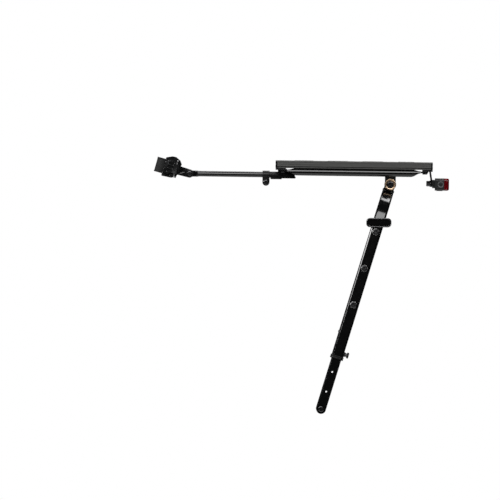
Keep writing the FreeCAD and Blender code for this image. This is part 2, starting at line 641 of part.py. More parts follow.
def fork_bolt():
    seat = vec(FORK_PIVOT.x, -FORK_HALF_WIDTH - 1.0, FORK_PIVOT.z)
    return socket_bolt(seat, vec(0, -1, 0), 3.9, 2.6, FORK_BOLT_RADIUS, 2 * FORK_HALF_WIDTH + 5.4, 3.0)


def fork_washers():
    """A ring washer under the bolt's head and the nut."""
    washer = ring(vec(FORK_PIVOT.x, FORK_HALF_WIDTH, FORK_PIVOT.z), Y_AXIS, 5.2, FORK_BOLT_RADIUS, 1.0)
    return both_sides([washer])


def fork_nut():
    start = vec(FORK_PIVOT.x, FORK_HALF_WIDTH + 1.0, FORK_PIVOT.z)
    return hexagon(start, Y_AXIS, 8.0, 3.4).cut(rod(start, Y_AXIS, FORK_BOLT_RADIUS, 5))


# Hoop and legs, built in the hoop's frame and in the right leg's frame

HOOP_FRAME = FreeCAD.Placement(vec(PIVOT_X, 0, PIVOT_Z), FreeCAD.Rotation(Y_AXIS, LEAN_DEG))
SPLAY = math.radians(SPLAY_DEG)
HOOP_CENTRE_Z = -HOOP_TOP_DROP - HOOP_RADIUS
LEG_START = vec(0, HOOP_RADIUS * math.cos(SPLAY), HOOP_CENTRE_Z + HOOP_RADIUS * math.sin(SPLAY))
LEG_FRAME = HOOP_FRAME.multiply(FreeCAD.Placement(LEG_START, FreeCAD.Rotation(X_AXIS, SPLAY_DEG)))
HOOP_LEG_FRAME = FreeCAD.Placement(LEG_START, FreeCAD.Rotation(X_AXIS, SPLAY_DEG))
CAVITY_WIDTH = LEG_WIDTH - 2 * LEG_WALL
CAVITY_THICKNESS = LEG_THICKNESS - 2 * LEG_WALL - 0.4


def cage_bolt_heights():
    return [CAGE_BOLT_FIRST - k * CAGE_BOLT_PITCH for k in range(3)]


def hoop():
    """The arch over the tyre: one bent bar whose ends step down into spigots for the legs."""
    straight = bar(HOOP_WIDTH, HOOP_THICKNESS, HOOP_EDGE, LEG_TOP, 0.0)
    spigot = bar(CAVITY_WIDTH - 0.2, HOOP_THICKNESS - 0.2, 2.0, SPIGOT_END, LEG_TOP)
    hole = rod(vec(0, -10, CAGE_BOLT_FIRST), Y_AXIS, INSERT_RADIUS + 0.1, 20)
    end = placed(straight.fuse(spigot).cut(hole), HOOP_LEG_FRAME)
    section = bar(HOOP_WIDTH, HOOP_THICKNESS, HOOP_EDGE, 0.0, 1.0)
    top_face = [face for face in section.Faces if face.BoundBox.ZMax < 0.001][0]
    start = placed(top_face, HOOP_LEG_FRAME)
    arch = start.revolve(vec(0, 0, HOOP_CENTRE_Z), X_AXIS, 180 - 2 * SPLAY_DEG)
    return arch.multiFuse([end, mirrored(end)]).removeSplitter()


def pivot_lug():
    """The eye welded on the hoop's crown; it turns on the pivot bolt between the hanger's ears."""
    half = EAR_INNER_Y - 0.4
    crown = -HOOP_TOP_DROP
    neck = block((-EAR_RADIUS + 0.5, EAR_RADIUS - 0.5), (-half, half), (crown, 0))
    eye = rod(vec(0, -half, 0), Y_AXIS, EAR_RADIUS - 0.5, 2 * half)
    lug = neck.fuse(eye).cut(rod(vec(0, -20, 0), Y_AXIS, PIVOT_BOLT_RADIUS + RUNNING_GAP, 40))
    return lug.cut(hoop()).removeSplitter()


def leg_tube():
    """The rolled upper leg, open below, with a hole for each cage insert and the thumb screw."""
    outer = bar(LEG_WIDTH, LEG_THICKNESS, LEG_EDGE, LEG_END, LEG_TOP)
    inner = bar(CAVITY_WIDTH, CAVITY_THICKNESS, LEG_EDGE - LEG_WALL, LEG_END - 1, LEG_TOP + 1)
    cuts = [inner]
    for z in cage_bolt_heights():
        cuts.append(rod(vec(0, 0, z), Y_AXIS, INSERT_RADIUS, 10))
    cuts.append(rod(vec(0, 0, THUMB_SCREW_Z), X_AXIS, 3.0, 15))
    cuts.append(rod(vec(0, 0, RIVET_Z), vec(-1, 0, 0), 1.2, 15))
    return outer.cut(Part.makeCompound(cuts))


def cage_inserts():
    """Threaded inserts in the leg's outer wall, at the usual bottle cage pitch."""
    face = LEG_THICKNESS / 2
    inserts = []
    for z in cage_bolt_heights():
        body = ring(vec(0, face - 5.5, z), Y_AXIS, INSERT_RADIUS, CAGE_BOLT_RADIUS, 5.5)
        flange = ring(vec(0, face, z), Y_AXIS, 5.6, CAGE_BOLT_RADIUS, 0.6)
        inserts.append(body.fuse(flange))
    return inserts


def cage_bolts():
    face = LEG_THICKNESS / 2 + 0.6
    return [socket_bolt(vec(0, face, z), Y_AXIS, 5.2, 2.8, CAGE_BOLT_RADIUS, 7.0, 4.0)
            for z in cage_bolt_heights()]


def cuff():
    """The level guide that covers each joint between the hoop and a leg."""
    x, z = CUFF_CENTRE
    body = rounded_plate(x, z, CUFF_LENGTH, CUFF_HEIGHT, CUFF_INNER_Y, CUFF_OUTER_Y, CUFF_CORNER)
    rims = [edge for edge in body.Edges if edge.BoundBox.YMax - edge.BoundBox.YMin < 0.01]
    body = body.makeFillet(1.2, rims)
    recess = rounded_plate(x, z, CUFF_LENGTH - 5.6, CUFF_HEIGHT - 5.6, CUFF_OUTER_Y - 1.6, CUFF_OUTER_Y + 1,
                           CUFF_CORNER - 2.8)
    envelope = placed(bar(LEG_WIDTH, LEG_THICKNESS, LEG_EDGE, -60, LEG_TOP), LEG_FRAME)
    arch = placed(hoop(), HOOP_FRAME)
    return body.cut(recess).cut(envelope).cut(arch).removeSplitter()


def leg_collar():
    """The band round the leg's lower end, which also closes the gap to the lower leg."""
    bottom = COLLAR_TOP - COLLAR_HEIGHT
    outer = bar(COLLAR_WIDTH, COLLAR_THICKNESS, LEG_EDGE + 1.0, bottom, COLLAR_TOP)
    tube_room = bar(LEG_WIDTH, LEG_THICKNESS, LEG_EDGE, LEG_END, COLLAR_TOP + 1)
    slide_room = bar(LOWER_WIDTH + 0.3, LOWER_THICKNESS + 0.3, LOWER_EDGE, bottom - 1, LEG_END + 1)
    groove_low = COLLAR_TOP - COLLAR_HEIGHT / 2 - 0.5
    groove = bar(COLLAR_WIDTH + 4, COLLAR_THICKNESS + 4, LEG_EDGE, groove_low, groove_low + 1.0)
    groove = groove.cut(bar(COLLAR_WIDTH - 1.4, COLLAR_THICKNESS - 1.4, LEG_EDGE, groove_low - 1, groove_low + 2))
    return outer.cut(tube_room).cut(slide_room).cut(groove)


def screw_boss():
    """The threaded boss behind the leg for the thumb screw."""
    face = LEG_WIDTH / 2
    boss = rod(vec(face, 0, THUMB_SCREW_Z), X_AXIS, 3.8, 2.2)
    return boss.cut(rod(vec(face - 1, 0, THUMB_SCREW_Z), X_AXIS, THUMB_SCREW_RADIUS + RUNNING_GAP, 6))


def stop_rivet():
    """A small rivet in the leg's front edge."""
    face = -LEG_WIDTH / 2
    shank = rod(vec(face + LEG_WALL, 0, RIVET_Z), vec(-1, 0, 0), 1.2, LEG_WALL)
    head = Part.makeSphere(2.4, vec(face + 1.2, 0, RIVET_Z))
    head = head.common(block((face - 5, face), (-5, 5), (RIVET_Z - 5, RIVET_Z + 5)))
    return shank.fuse(head)


def thumb_screw():
    """A screw with a T-shaped grip; its tip stops just short of the lower leg."""
    tip = LOWER_WIDTH / 2 + 0.4
    grip_x = LEG_WIDTH / 2 + 5.6
    shank = rod(vec(tip, 0, THUMB_SCREW_Z), X_AXIS, THUMB_SCREW_RADIUS, grip_x + 1.0 - tip)
    neck = rod(vec(LEG_WIDTH / 2 + 2.6, 0, THUMB_SCREW_Z), X_AXIS, 3.2, 1.6)
    grip = rounded_block((grip_x, grip_x + 2.8), (-3.0, 3.0), (THUMB_SCREW_Z - 4.6, THUMB_SCREW_Z + 4.6),
                         1.2, Y_AXIS)
    return shank.multiFuse([neck, grip]).removeSplitter()


def lower_leg():
    """The inner leg, hollow from the top, with two small holes and a round foot for the axle bolt."""
    stem = bar(LOWER_WIDTH, LOWER_THICKNESS, LOWER_EDGE, AXLE_Z, LOWER_TOP)
    hollow = bar(LOWER_WIDTH - 2 * LOWER_WALL, LOWER_THICKNESS - 2 * LOWER_WALL, 1.0, AXLE_Z + 14, LOWER_TOP + 1)
    stem = stem.cut(hollow)
    unsplay = FreeCAD.Placement(vec(0, 0, AXLE_Z), FreeCAD.Rotation(X_AXIS, -SPLAY_DEG))
    foot = placed(rod(vec(0, -FOOT_HALF_THICKNESS, 0), Y_AXIS, FOOT_RADIUS, 2 * FOOT_HALF_THICKNESS), unsplay)
    bore = placed(rod(vec(0, -20, 0), Y_AXIS, AXLE_BOLT_RADIUS, 40), unsplay)
    holes = [placed(rod(vec(0, -20, height), Y_AXIS, LEG_HOLE_RADIUS, 40), unsplay) for height in LEG_HOLES]
    return stem.fuse(foot).cut(bore).cut(Part.makeCompound(holes)).removeSplitter()


def foot_place():
    """The frame at the foot: level across the bicycle, whatever the leg's splay."""
    unsplay = FreeCAD.Placement(vec(0, 0, AXLE_Z), FreeCAD.Rotation(X_AXIS, -SPLAY_DEG))
    return LEG_FRAME.multiply(unsplay)


def axle_bolt():
    """The foot's bolt; its free thread points in, towards the wheel's axle."""
    seat = vec(0, FOOT_HALF_THICKNESS, 0)
    reach = 2 * FOOT_HALF_THICKNESS + AXLE_BOLT_FREE
    return socket_bolt(seat, Y_AXIS, 4.9, 3.0, AXLE_BOLT_RADIUS, reach, 4.0)


def foot_washer():
    return ring(vec(0, -FOOT_HALF_THICKNESS - 1.2, 0), Y_AXIS, 6.2, AXLE_BOLT_RADIUS, 1.2)


# Tail light

def light_bracket():
    """A bent strip that hangs from the rear cap."""
    strip = slab([(126.2, CAP_BOTTOM), (129.2, CAP_BOTTOM), (STRIP_BACK_X, -30.0), (STRIP_BACK_X, -41.0),
                  (128.5, -41.0), (128.5, -30.3)], -7.0, 7.0)
    knees = [edge for edge in edges_along(strip, Y_AXIS)
             if edge.BoundBox.ZMax < -29 and edge.BoundBox.ZMin > -31]
    strip = strip.makeFillet(9.0, knees)
    return strip.cut(rod(vec(120, 0, LIGHT_SCREW_Z), X_AXIS, LIGHT_SCREW_RADIUS, 20))


def light_knob():
    """The fluted knob and its screw, which hold the light to the strip."""
    head = rod(vec(121.5, 0, LIGHT_SCREW_Z), X_AXIS, 4.6, 5.4)
    head = head.makeFillet(1.0, [edge for edge in head.Edges if edge.isClosed() and edge.BoundBox.XMax < 122])
    flutes = []
    for k in range(8):
        angle = k * math.pi / 4
        flute = vec(121, 5.2 * math.cos(angle), LIGHT_SCREW_Z + 5.2 * math.sin(angle))
        flutes.append(rod(flute, X_AXIS, 1.0, 4.6))
    head = head.cut(Part.makeCompound(flutes))
    washer = rod(vec(126.9, 0, LIGHT_SCREW_Z), X_AXIS, 5.2, 1.6)
    screw = rod(vec(126.0, 0, LIGHT_SCREW_Z), X_AXIS, LIGHT_SCREW_RADIUS, 8.2)
    return head.multiFuse([washer, screw]).removeSplitter()


def light_mount():
    """The ribbed foot between the strip and the light."""
    foot = rounded_block((STRIP_BACK_X, LIGHT_FRONT_X), (-7.5, 7.5), (-43.0, -29.0), 2.0, X_AXIS)
    grooves = [block((133.0, 133.8), (side - 2.0, side + 2.0), (-44, -28)) for side in (-8.5, 8.5)]
    bore = rod(vec(130, 0, LIGHT_SCREW_Z), X_AXIS, LIGHT_SCREW_RADIUS, 4.2)
    return foot.cut(Part.makeCompound(grooves + [bore]))


def light_shape(x_low, x_high, inset):
    half = LIGHT_HALF_WIDTH - inset
    return rounded_block((x_low, x_high), (-half, half), (LIGHT_BOTTOM + inset, LIGHT_TOP - inset),
                         LIGHT_EDGE - inset, X_AXIS)


def light_housing():
    """The light's shell, open to the back, with a hole in its left side for the button."""
    shell = light_shape(LIGHT_FRONT_X, LENS_FRONT_X, 0.0)
    shell = shell.cut(light_shape(LIGHT_FRONT_X + 2.0, LENS_FRONT_X + 1, LIGHT_WALL))
    button = vec(BUTTON_X, -LIGHT_HALF_WIDTH - 1, light_middle_z())
    seat = ring(vec(BUTTON_X, -LIGHT_HALF_WIDTH - 1, light_middle_z()), Y_AXIS, 5.0, 3.9, 1.5)
    return shell.cut(rod(button, Y_AXIS, BUTTON_RADIUS + RUNNING_GAP, 5)).cut(seat)


def light_middle_z():
    return (LIGHT_TOP + LIGHT_BOTTOM) / 2


def light_lens():
    """The red cover, a hollow cap with rounded rear edges and fine ribs inside."""
    cap = light_shape(LENS_FRONT_X, LIGHT_BACK_X, 0.0)
    rear = [edge for edge in cap.Edges if edge.BoundBox.XMin > LIGHT_BACK_X - 0.01]
    cap = cap.makeFillet(3.0, rear)
    cap = cap.cut(light_shape(LENS_FRONT_X - 1, LIGHT_BACK_X - 2.6, LIGHT_WALL + 0.4))
    ribs = [block((LIGHT_BACK_X - 3.2, LIGHT_BACK_X - 2.2), (-12.0, 12.0), (z, z + 0.6))
            for z in (-42.0, -39.4, -36.8, -34.2, -31.6)]
    return cap.multiFuse(ribs).removeSplitter()


def light_board():
    """The circuit board behind the lens."""
    return rounded_block((LENS_FRONT_X - 2.4, LENS_FRONT_X - 1.2), (-14.6, 14.6), (-44.6, -28.6), 2.0, X_AXIS)


def light_emitters():
    """Three emitters in a row on the board."""
    front = LENS_FRONT_X - 1.2
    return [rod(vec(front, y, light_middle_z()), X_AXIS, 2.2, 1.4) for y in (-8.0, 0.0, 8.0)]


def light_battery():
    return rounded_block((LIGHT_FRONT_X + 2.6, LENS_FRONT_X - 3.4), (-8.5, 13.5), (-43.6, -29.6), 2.0, Y_AXIS)


def button_ring():
    """The pale ring pressed into the housing round the button."""
    return ring(vec(BUTTON_X, -LIGHT_HALF_WIDTH - 0.4, light_middle_z()), Y_AXIS, 5.0, 3.9, 0.9)


def light_button():
    """The rubber-faced button, which travels into the light's side."""
    outer_y = -LIGHT_HALF_WIDTH - 1.0
    cap = rod(vec(BUTTON_X, outer_y, light_middle_z()), Y_AXIS, BUTTON_RADIUS, 4.2)
    rim = [edge for edge in cap.Edges if edge.isClosed() and edge.BoundBox.YMax < outer_y + 0.01]
    return cap.makeFillet(0.6, rim)


def write_deck():
    rail = side_rail()
    save("side_rail_right", rail)
    save("side_rail_left", mirrored(rail))
    save("deck_plate", deck_plate())
    save("cross_beams", cross_beams())
    save("rear_cap", end_cap(1))
    save("front_cap", end_cap(-1))
    tube = pannier_tube()
    save("pannier_tube_right", tube)
    save("pannier_tube_left", mirrored(tube))
    save("underside_bolts", tube_bolts() + hanger_bolts() + bracket_bolts())
    save("beam_bolts", beam_bolts())
    save("pivot_hanger", pivot_hanger())
    save("pivot_bushes", pivot_bushes())
    save("pivot_bolt", pivot_bolt())
    save("pivot_nut", pivot_nut())
    save("tongue_bracket", tongue_bracket())
    save("arm_clamp", arm_clamp())
    save("arm_clamp_bolt", arm_clamp_bolt())
    save("arm_clamp_nut", arm_clamp_nut())


def write_arm_and_clamp():
    save("arm_rod", arm_rod())
    pieces = {
        "clamp_block": clamp_block(),
        "clamp_strap": clamp_strap(),
        "strap_liner": strap_liner(),
        "buckle_frame": buckle_frame(),
        "strap_anchor": strap_anchor(),
        "anchor_bolts": anchor_bolts(),
        "clamp_lever": lever(),
        "lever_pin": lever_pin(),
        "clamp_fork": clamp_fork(),
        "fork_bolt": fork_bolt(),
        "fork_washers": fork_washers(),
        "fork_nut": fork_nut(),
    }
    for name, shape in pieces.items():
        if isinstance(shape, list):
            save(name, [placed(piece, POST_FRAME) for piece in shape])
        else:
            save(name, placed(shape, POST_FRAME))


def write_hoop_and_legs():
    save("hoop", placed(hoop(), HOOP_FRAME))
    save("pivot_lug", placed(pivot_lug(), HOOP_FRAME))
    guide = cuff()
    save("cuff_right", guide)
    save("cuff_left", mirrored(guide))
    leg_groups = {
        "cage_inserts": cage_inserts(),
        "cage_bolts": cage_bolts(),
        "leg_collars": [leg_collar()],
        "screw_bosses": [screw_boss()],
        "stop_rivets": [stop_rivet()],
    }
    for name, shapes in leg_groups.items():
        save(name, both_sides([placed(shape, LEG_FRAME) for shape in shapes]))
    leg_pieces = {
        "leg_tube": placed(leg_tube(), LEG_FRAME),
        "thumb_screw": placed(thumb_screw(), LEG_FRAME),
        "lower_leg": placed(lower_leg(), LEG_FRAME),
        "axle_bolt": placed(axle_bolt(), foot_place()),
        "foot_washer": placed(foot_washer(), foot_place()),
    }
    for name, shape in leg_pieces.items():
        save(name + "_right", shape)
        save(name + "_left", mirrored(shape))


def write_light():
    save("light_bracket", light_bracket())
    save("light_knob", light_knob())
    save("light_mount", light_mount())
    save("light_housing", light_housing())
    save("light_lens", light_lens())
    save("light_board", light_board())
    save("light_emitters", light_emitters())
    save("light_battery", light_battery())
    save("button_ring", button_ring())
    save("light_button", light_button())


os.makedirs("parts", exist_ok=True)
write_deck()
write_arm_and_clamp()
write_hoop_and_legs()
write_light()
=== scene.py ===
"""The rear rack's looks: materials, fine pieces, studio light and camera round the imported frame."""
import json
import math

import bmesh
import bpy
from mathutils import Matrix, Vector


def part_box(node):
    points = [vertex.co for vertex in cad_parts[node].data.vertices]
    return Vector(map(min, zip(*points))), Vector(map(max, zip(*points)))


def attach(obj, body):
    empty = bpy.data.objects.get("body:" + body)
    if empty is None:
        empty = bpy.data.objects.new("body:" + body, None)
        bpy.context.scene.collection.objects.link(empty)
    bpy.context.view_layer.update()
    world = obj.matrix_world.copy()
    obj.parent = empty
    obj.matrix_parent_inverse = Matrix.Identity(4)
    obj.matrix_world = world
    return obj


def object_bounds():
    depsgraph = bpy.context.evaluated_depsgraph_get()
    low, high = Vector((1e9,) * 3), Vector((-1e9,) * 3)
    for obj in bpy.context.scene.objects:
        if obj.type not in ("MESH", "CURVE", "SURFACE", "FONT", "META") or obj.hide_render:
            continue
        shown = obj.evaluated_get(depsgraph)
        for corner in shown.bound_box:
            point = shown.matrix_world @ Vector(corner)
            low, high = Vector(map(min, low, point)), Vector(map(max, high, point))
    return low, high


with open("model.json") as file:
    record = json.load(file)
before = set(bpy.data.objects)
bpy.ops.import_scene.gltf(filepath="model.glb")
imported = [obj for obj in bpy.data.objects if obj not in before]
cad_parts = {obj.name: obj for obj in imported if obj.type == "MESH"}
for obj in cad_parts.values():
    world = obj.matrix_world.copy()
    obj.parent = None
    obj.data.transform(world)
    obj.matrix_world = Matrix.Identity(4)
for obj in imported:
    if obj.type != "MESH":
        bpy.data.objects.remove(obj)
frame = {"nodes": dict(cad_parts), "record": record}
cad_low, cad_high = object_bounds()
NODES = frame["nodes"]
JOINTS = {joint["name"]: joint for joint in frame["record"]["behaviour"]["joints"]}
MOUNTS = {mount["name"]: mount for mount in frame["record"]["mounts"]}

MM = 0.001
X_AXIS = Vector((1, 0, 0))
Y_AXIS = Vector((0, 1, 0))
Z_AXIS = Vector((0, 0, 1))


# Materials

class Shader:
    """A node material under construction, with object-space texture coordinates in metres."""

    def __init__(self, name):
        self.material = bpy.data.materials.new(name)
        self.material.use_nodes = True
        self.tree = self.material.node_tree
        self.bsdf = self.tree.nodes["Principled BSDF"]
        self.coordinates = self.add("ShaderNodeTexCoord").outputs["Object"]
        self.bumped = None

    def add(self, kind, **values):
        node = self.tree.nodes.new(kind)
        for key, value in values.items():
            setattr(node, key, value)
        return node

    def link(self, source, target):
        self.tree.links.new(source, target)

    def set(self, **values):
        for key, value in values.items():
            socket = self.bsdf.inputs[key.replace("_", " ")]
            socket.default_value = (*value, 1.0) if isinstance(value, tuple) else value

    def stretched(self, scale):
        mapping = self.add("ShaderNodeMapping")
        mapping.inputs["Scale"].default_value = scale
        self.link(self.coordinates, mapping.inputs["Vector"])
        return mapping.outputs["Vector"]

    def noise(self, scale, detail=3.0, stretch=(1.0, 1.0, 1.0), roughness=0.55):
        node = self.add("ShaderNodeTexNoise")
        node.inputs["Scale"].default_value = scale
        node.inputs["Detail"].default_value = detail
        node.inputs["Roughness"].default_value = roughness
        self.link(self.stretched(stretch), node.inputs["Vector"])
        return node.outputs["Fac"]

    def cells(self, scale):
        node = self.add("ShaderNodeTexVoronoi")
        node.inputs["Scale"].default_value = scale
        self.link(self.coordinates, node.inputs["Vector"])
        return node.outputs["Distance"]

    def remap(self, source, low, high, in_low=0.3, in_high=0.7):
        node = self.add("ShaderNodeMapRange")
        node.inputs["From Min"].default_value = in_low
        node.inputs["From Max"].default_value = in_high
        node.inputs["To Min"].default_value = low
        node.inputs["To Max"].default_value = high
        self.link(source, node.inputs["Value"])
        return node.outputs["Result"]

    def colours(self, source, stops):
        node = self.add("ShaderNodeValToRGB")
        ramp = node.color_ramp
        while len(ramp.elements) < len(stops):
            ramp.elements.new(0.5)
        for element, (place, colour) in zip(ramp.elements, stops):
            element.position = place
            element.color = (*colour, 1.0)
        self.link(source, node.inputs["Fac"])
        self.link(node.outputs["Color"], self.bsdf.inputs["Base Color"])

    def roughness(self, source, low, high):
        self.link(self.remap(source, low, high), self.bsdf.inputs["Roughness"])

    def bump(self, height, depth, strength=1.0):
        """Add one layer of relief, its depth in metres."""
        node = self.add("ShaderNodeBump")
        node.inputs["Strength"].default_value = strength
        node.inputs["Distance"].default_value = depth
        self.link(height, node.inputs["Height"])
        if self.bumped:
            self.link(self.bumped, node.inputs["Normal"])
        self.bumped = node.outputs["Normal"]
        self.link(self.bumped, self.bsdf.inputs["Normal"])

    def worn_edges(self, base, worn, amount=0.5):
        """Lighten convex edges a little, where the finish rubs thin."""
        geometry = self.add("ShaderNodeNewGeometry")
        edge = self.remap(geometry.outputs["Pointiness"], 0.0, amount, 0.53, 0.62)
        patches = self.remap(self.noise(900.0), 0.0, 1.0, 0.45, 0.75)
        both = self.add("ShaderNodeMath", operation="MULTIPLY")
        self.link(edge, both.inputs[0])
        self.link(patches, both.inputs[1])
        mix = self.add("ShaderNodeMix", data_type="RGBA")
        tone = self.add("ShaderNodeValToRGB")
        tone.color_ramp.elements[0].color = (*base[0], 1.0)
        tone.color_ramp.elements[1].color = (*base[1], 1.0)
        self.link(self.noise(60.0), tone.inputs["Fac"])
        self.link(both.outputs[0], mix.inputs["Factor"])
        self.link(tone.outputs["Color"], mix.inputs["A"])
        mix.inputs["B"].default_value = (*worn, 1.0)
        self.link(mix.outputs["Result"], self.bsdf.inputs["Base Color"])


def rail_aluminium():
    """Dark grey anodised extrusion: long die lines, a fine satin grain, slight mottling."""
    shader = Shader("rail_aluminium")
    shader.set(Metallic=0.55, Specular_IOR_Level=0.5)
    lines = shader.noise(1.0, 6.0, (6.0, 2600.0, 2600.0), 0.7)
    shader.colours(lines, [(0.30, (0.085, 0.085, 0.082)), (0.70, (0.125, 0.125, 0.120))])
    shader.roughness(shader.noise(260.0), 0.36, 0.46)
    shader.bump(lines, 0.00004)
    shader.bump(shader.noise(7000.0, 2.0), 0.00001, 0.5)
    return shader.material


def black_coat():
    """Gloss black powder coat with a slight orange-peel skin."""
    shader = Shader("black_coat")
    shader.set(Metallic=0.0, Specular_IOR_Level=0.5, Coat_Weight=0.35, Coat_Roughness=0.08)
    shader.colours(shader.noise(60.0), [(0.3, (0.0012, 0.0012, 0.0013)), (0.7, (0.0022, 0.0022, 0.0024))])
    shader.roughness(shader.noise(180.0), 0.11, 0.16)
    shader.bump(shader.noise(420.0, 2.0), 0.000004)
    shader.bump(shader.noise(2600.0, 2.0), 0.000001)
    return shader.material


def black_anodised():
    """Satin black anodised machined parts with a bead-blasted grain."""
    shader = Shader("black_anodised")
    shader.set(Metallic=0.45, Specular_IOR_Level=0.5)
    shader.worn_edges(((0.004, 0.004, 0.0042), (0.007, 0.007, 0.0072)), (0.10, 0.10, 0.10), 0.5)
    shader.roughness(shader.noise(300.0), 0.32, 0.44)
    shader.bump(shader.cells(5200.0), 0.000012)
    return shader.material


def bronze_ring():
    """Champagne anodised ring, turned on a lathe, so its lines run round the pivot."""
    shader = Shader("bronze_ring")
    shader.set(Metallic=1.0)
    shader.colours(shader.noise(140.0), [(0.3, (0.74, 0.52, 0.34)), (0.7, (0.90, 0.68, 0.48))])
    centre = Vector(JOINTS["hoop_swing"]["pos_m"])
    mapping = shader.add("ShaderNodeMapping")
    mapping.inputs["Location"].default_value = -centre
    shader.link(shader.coordinates, mapping.inputs["Vector"])
    rings = shader.add("ShaderNodeTexWave", wave_type="RINGS", rings_direction="Y")
    rings.inputs["Scale"].default_value = 700.0
    rings.inputs["Distortion"].default_value = 0.4
    shader.link(mapping.outputs["Vector"], rings.inputs["Vector"])
    shader.roughness(rings.outputs["Fac"], 0.26, 0.38)
    shader.bump(rings.outputs["Fac"], 0.000006)
    return shader.material


def black_steel():
    """Black-oxide fasteners: oily dark steel, lighter where a key has rubbed."""
    shader = Shader("black_steel")
    shader.set(Metallic=1.0)
    shader.worn_edges(((0.07, 0.07, 0.072), (0.12, 0.12, 0.123)), (0.5, 0.5, 0.5), 0.8)
    shader.roughness(shader.noise(500.0), 0.18, 0.28)
    shader.bump(shader.noise(3000.0), 0.000008)
    return shader.material


def bright_steel():
    """Zinc-plated inserts and washers."""
    shader = Shader("bright_steel")
    shader.set(Metallic=1.0)
    shader.colours(shader.noise(400.0), [(0.3, (0.50, 0.50, 0.50)), (0.7, (0.66, 0.66, 0.65))])
    shader.roughness(shader.noise(900.0), 0.22, 0.36)
    shader.bump(shader.noise(4000.0), 0.000006)
    return shader.material


def nylon():
    """Glass-filled black nylon with a fine moulded grain and soft gloss patches."""
    shader = Shader("nylon")
    shader.set(Metallic=0.0, Specular_IOR_Level=0.8)
    shader.worn_edges(((0.0022, 0.0022, 0.0023), (0.0042, 0.0042, 0.0044)), (0.20, 0.20, 0.205), 0.9)
    shader.roughness(shader.noise(220.0), 0.15, 0.25)
    shader.bump(shader.cells(3400.0), 0.000006)
    shader.bump(shader.noise(900.0), 0.00001)
    return shader.material


def strap_rubber():
    """Matte dark grey rubber with a fine pebble and a little dust bloom."""
    shader = Shader("strap_rubber")
    shader.set(Metallic=0.0, Specular_IOR_Level=0.13)
    shader.colours(shader.noise(90.0, 5.0), [(0.25, (0.003, 0.003, 0.003)), (0.75, (0.006, 0.006, 0.006))])
    shader.roughness(shader.noise(400.0), 0.55, 0.72)
    shader.bump(shader.cells(2400.0), 0.00004)
    return shader.material


def light_shell():
    """Dark grey textured plastic of the tail light."""
    shader = Shader("light_shell")
    shader.set(Metallic=0.0, Specular_IOR_Level=0.5)
    shader.worn_edges(((0.014, 0.014, 0.0145), (0.022, 0.022, 0.0225)), (0.08, 0.08, 0.08), 0.5)
    shader.roughness(shader.noise(260.0), 0.34, 0.48)
    shader.bump(shader.cells(4200.0), 0.000018)
    return shader.material


def red_lens():
    """Deep red translucent acrylic with faint flow marks."""
    shader = Shader("red_lens")
    shader.set(Metallic=0.0, Transmission_Weight=0.55, IOR=1.49, Specular_IOR_Level=0.5)
    shader.colours(shader.noise(70.0), [(0.3, (0.26, 0.002, 0.006)), (0.7, (0.38, 0.005, 0.011))])
    shader.roughness(shader.noise(150.0), 0.08, 0.16)
    shader.bump(shader.noise(300.0, 2.0), 0.00002)
    return shader.material


def grey_plastic():
    """Satin pale grey plastic."""
    shader = Shader("grey_plastic")
    shader.set(Metallic=0.0)
    shader.colours(shader.noise(200.0), [(0.3, (0.20, 0.20, 0.203)), (0.7, (0.26, 0.26, 0.264))])
    shader.roughness(shader.noise(500.0), 0.3, 0.42)
    shader.bump(shader.noise(3000.0), 0.00001)
    return shader.material


def circuit():
    """Green solder mask with copper traces showing through as relief."""
    shader = Shader("circuit")
    shader.set(Metallic=0.1)
    bricks = shader.add("ShaderNodeTexBrick")
    bricks.inputs["Scale"].default_value = 500.0
    shader.link(shader.stretched((0.0, 1.0, 1.0)), bricks.inputs["Vector"])
    shader.colours(bricks.outputs["Fac"], [(0.2, (0.010, 0.075, 0.028)), (0.8, (0.03, 0.16, 0.06))])
    shader.roughness(shader.noise(800.0), 0.25, 0.4)
    shader.bump(bricks.outputs["Fac"], 0.00004)
    return shader.material


def emitter():
    """Pale yellow phosphor under clear epoxy."""
    shader = Shader("emitter")
    shader.set(Metallic=0.0, Coat_Weight=1.0, Coat_Roughness=0.05)
    shader.colours(shader.noise(900.0), [(0.3, (0.72, 0.62, 0.25)), (0.7, (0.85, 0.80, 0.50))])
    shader.roughness(shader.noise(900.0), 0.2, 0.35)
    return shader.material


def battery():
    """A cell in blue shrink wrap."""
    shader = Shader("battery")
    shader.set(Metallic=0.0)
    shader.colours(shader.noise(120.0), [(0.3, (0.02, 0.06, 0.24)), (0.7, (0.04, 0.10, 0.34))])
    shader.roughness(shader.noise(300.0), 0.25, 0.38)
    shader.bump(shader.noise(220.0, 4.0, (0.2, 1.0, 1.0)), 0.0001)
    return shader.material


MAKERS = (rail_aluminium, black_coat, black_anodised, bronze_ring, black_steel, bright_steel, nylon,
          strap_rubber, light_shell, red_lens, grey_plastic, circuit, emitter, battery)
MATERIALS = {maker.__name__: maker() for maker in MAKERS}


# CAD nodes: their record slot's material, and small rounded edges

EDGE_WIDTH = {
    "side_rail_left": 0.25, "side_rail_right": 0.25, "deck_plate": 0.4, "hoop": 0.3,
    "clamp_block": 0.5, "buckle_frame": 1.0, "clamp_lever": 0.8, "clamp_fork": 1.1,
    "tongue_bracket": 0.6, "arm_clamp": 0.6, "pivot_hanger": 0.7, "cross_beams": 0.6,
    "light_mount": 0.4, "strap_anchor": 0.5, "front_cap": 0.6, "rear_cap": 0.6, "pivot_lug": 0.7,
    "cuff_left": 0.9, "cuff_right": 0.9, "leg_tube_left": 0.5, "leg_tube_right": 0.5,
}
DEFAULT_EDGE = 0.2
SHARP_ANGLE = math.radians(32)


